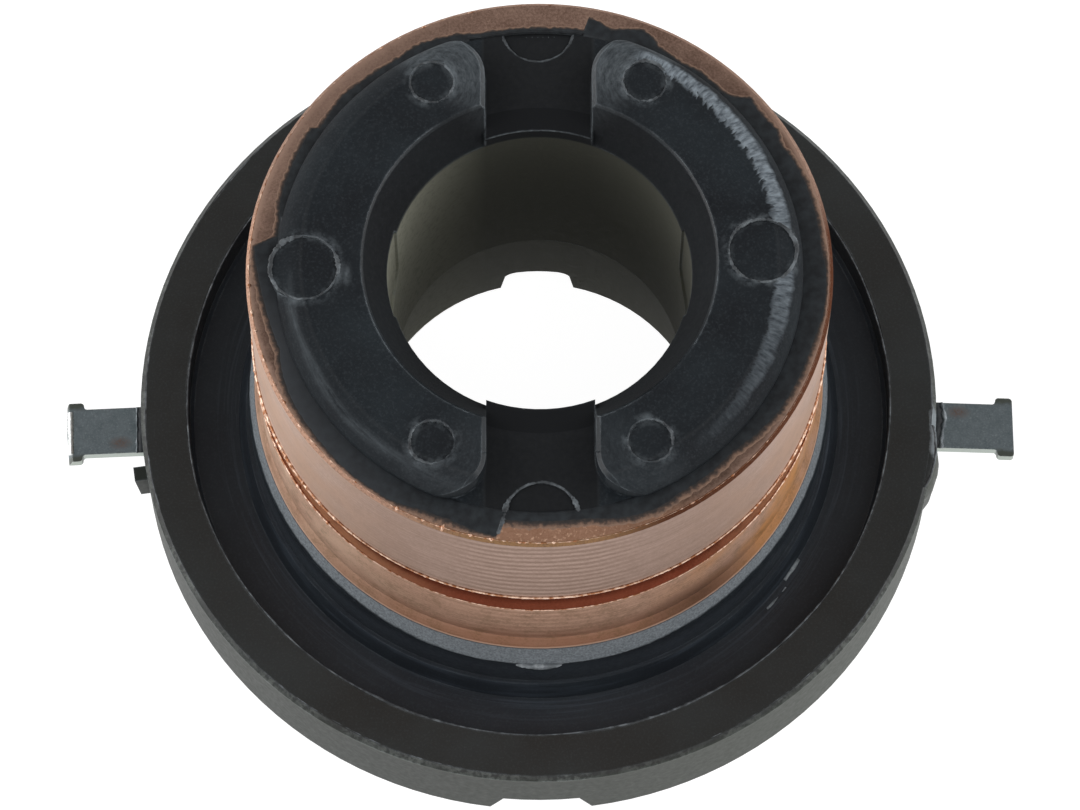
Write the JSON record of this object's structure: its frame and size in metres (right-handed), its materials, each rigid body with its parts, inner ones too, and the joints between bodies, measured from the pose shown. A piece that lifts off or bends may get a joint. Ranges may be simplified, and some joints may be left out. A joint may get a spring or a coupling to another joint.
{
  "type": "alternator slip ring",
  "caption": "Slip ring for an alternator rotor: two copper rings on a black moulded hub with a dished flange, face pads and side terminals.",
  "frame": {"origin": "centre of the bore on the rear seat face", "axes": "+Z along the bore from the rotor to the shaft's free end, X through the two terminals, +Y through the key notch of the rear boss"},
  "size_m": [0.058, 0.0478, 0.0288],
  "materials": {
    "moulding": "satin",
    "front_copper": "turned",
    "rear_copper": "turned",
    "left_strip": "tinned",
    "right_strip": "tinned"
  },
  "bodies": {
    "root": {"moulded_body": "moulding", "front_slip_ring": "front_copper", "rear_slip_ring": "rear_copper", "left_terminal": "left_strip", "right_terminal": "right_strip"}
  },
  "joints": []
}
